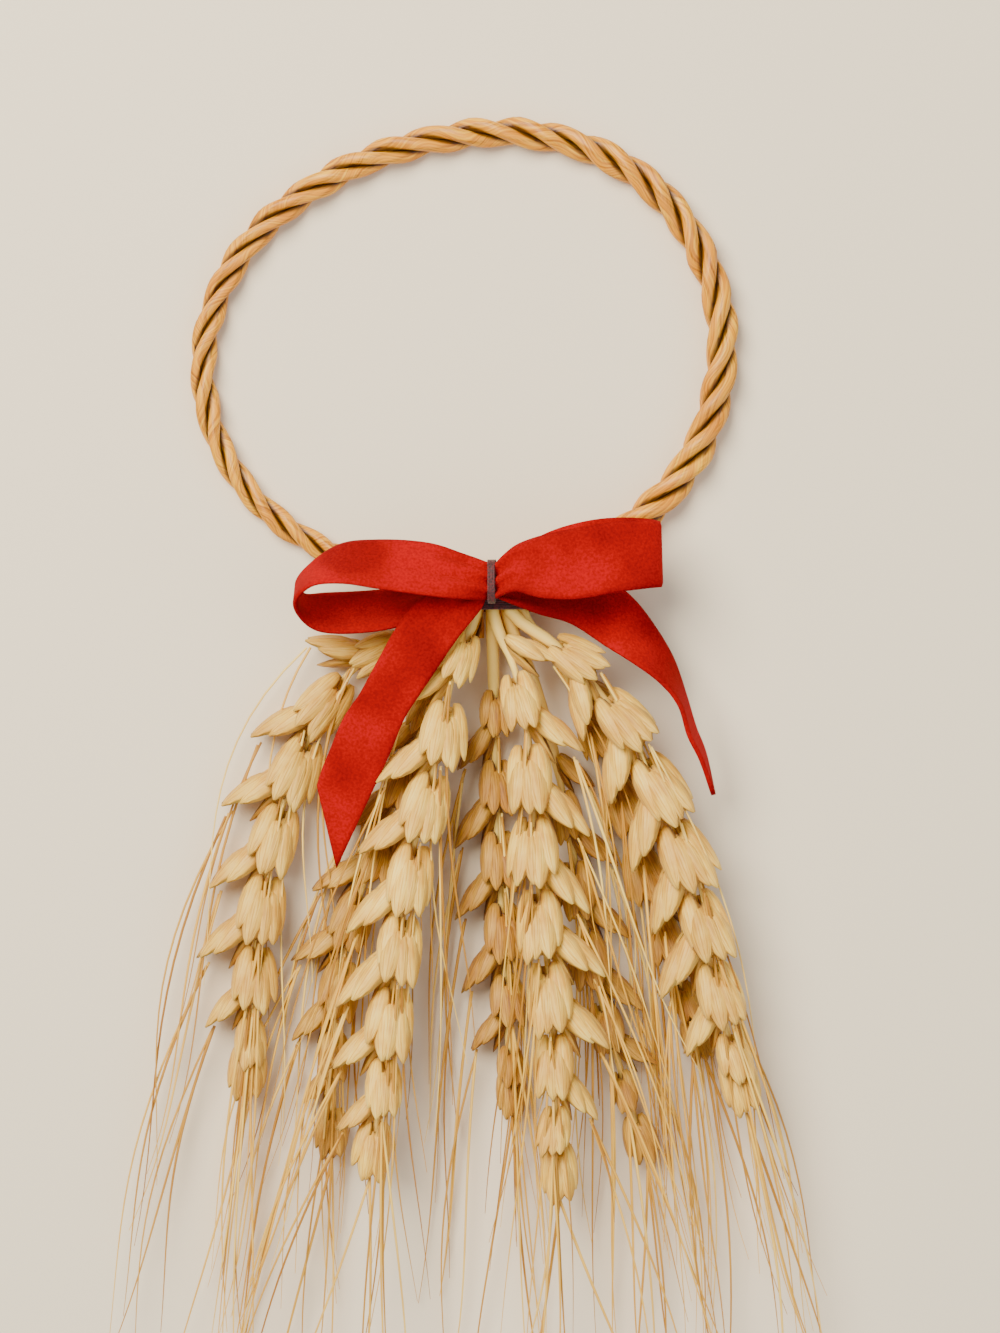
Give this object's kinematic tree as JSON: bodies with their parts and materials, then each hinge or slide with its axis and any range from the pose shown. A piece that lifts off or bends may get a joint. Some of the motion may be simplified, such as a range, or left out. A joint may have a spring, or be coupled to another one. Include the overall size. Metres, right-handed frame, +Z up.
{
  "type": "straw ornament",
  "caption": "Harvest straw ornament lying on its back: an oval ring of twisted straw, a fan of bearded wheat ears below it and a velvet ribbon bow over the tie.",
  "frame": {"origin": "middle of the bounding box's underside, on the table that the ornament lies on", "axes": "+Z up from the table, +Y from the tips of the awns towards the top of the ring, +X to the right as seen from above"},
  "size_m": [0.103, 0.1958, 0.0215],
  "materials": {
    "straw_rope": "satin straw, golden",
    "wheat": "dry wheat, satin to matt",
    "velvet": "velvet pile, matt",
    "thread": "matt cotton thread"
  },
  "bodies": {
    "root": {"rope_strand_1": "straw_rope", "rope_strand_2": "straw_rope", "rope_strand_3": "straw_rope", "ear_far_left": "wheat", "ear_behind_left": "wheat", "ear_behind_centre": "wheat", "ear_behind_right": "wheat", "ear_behind_far_right": "wheat", "ear_centre_left": "wheat", "ear_centre_right": "wheat", "ear_right": "wheat", "ribbon_bow": "velvet", "bow_thread": "thread", "neck_thread": "thread"}
  },
  "joints": []
}
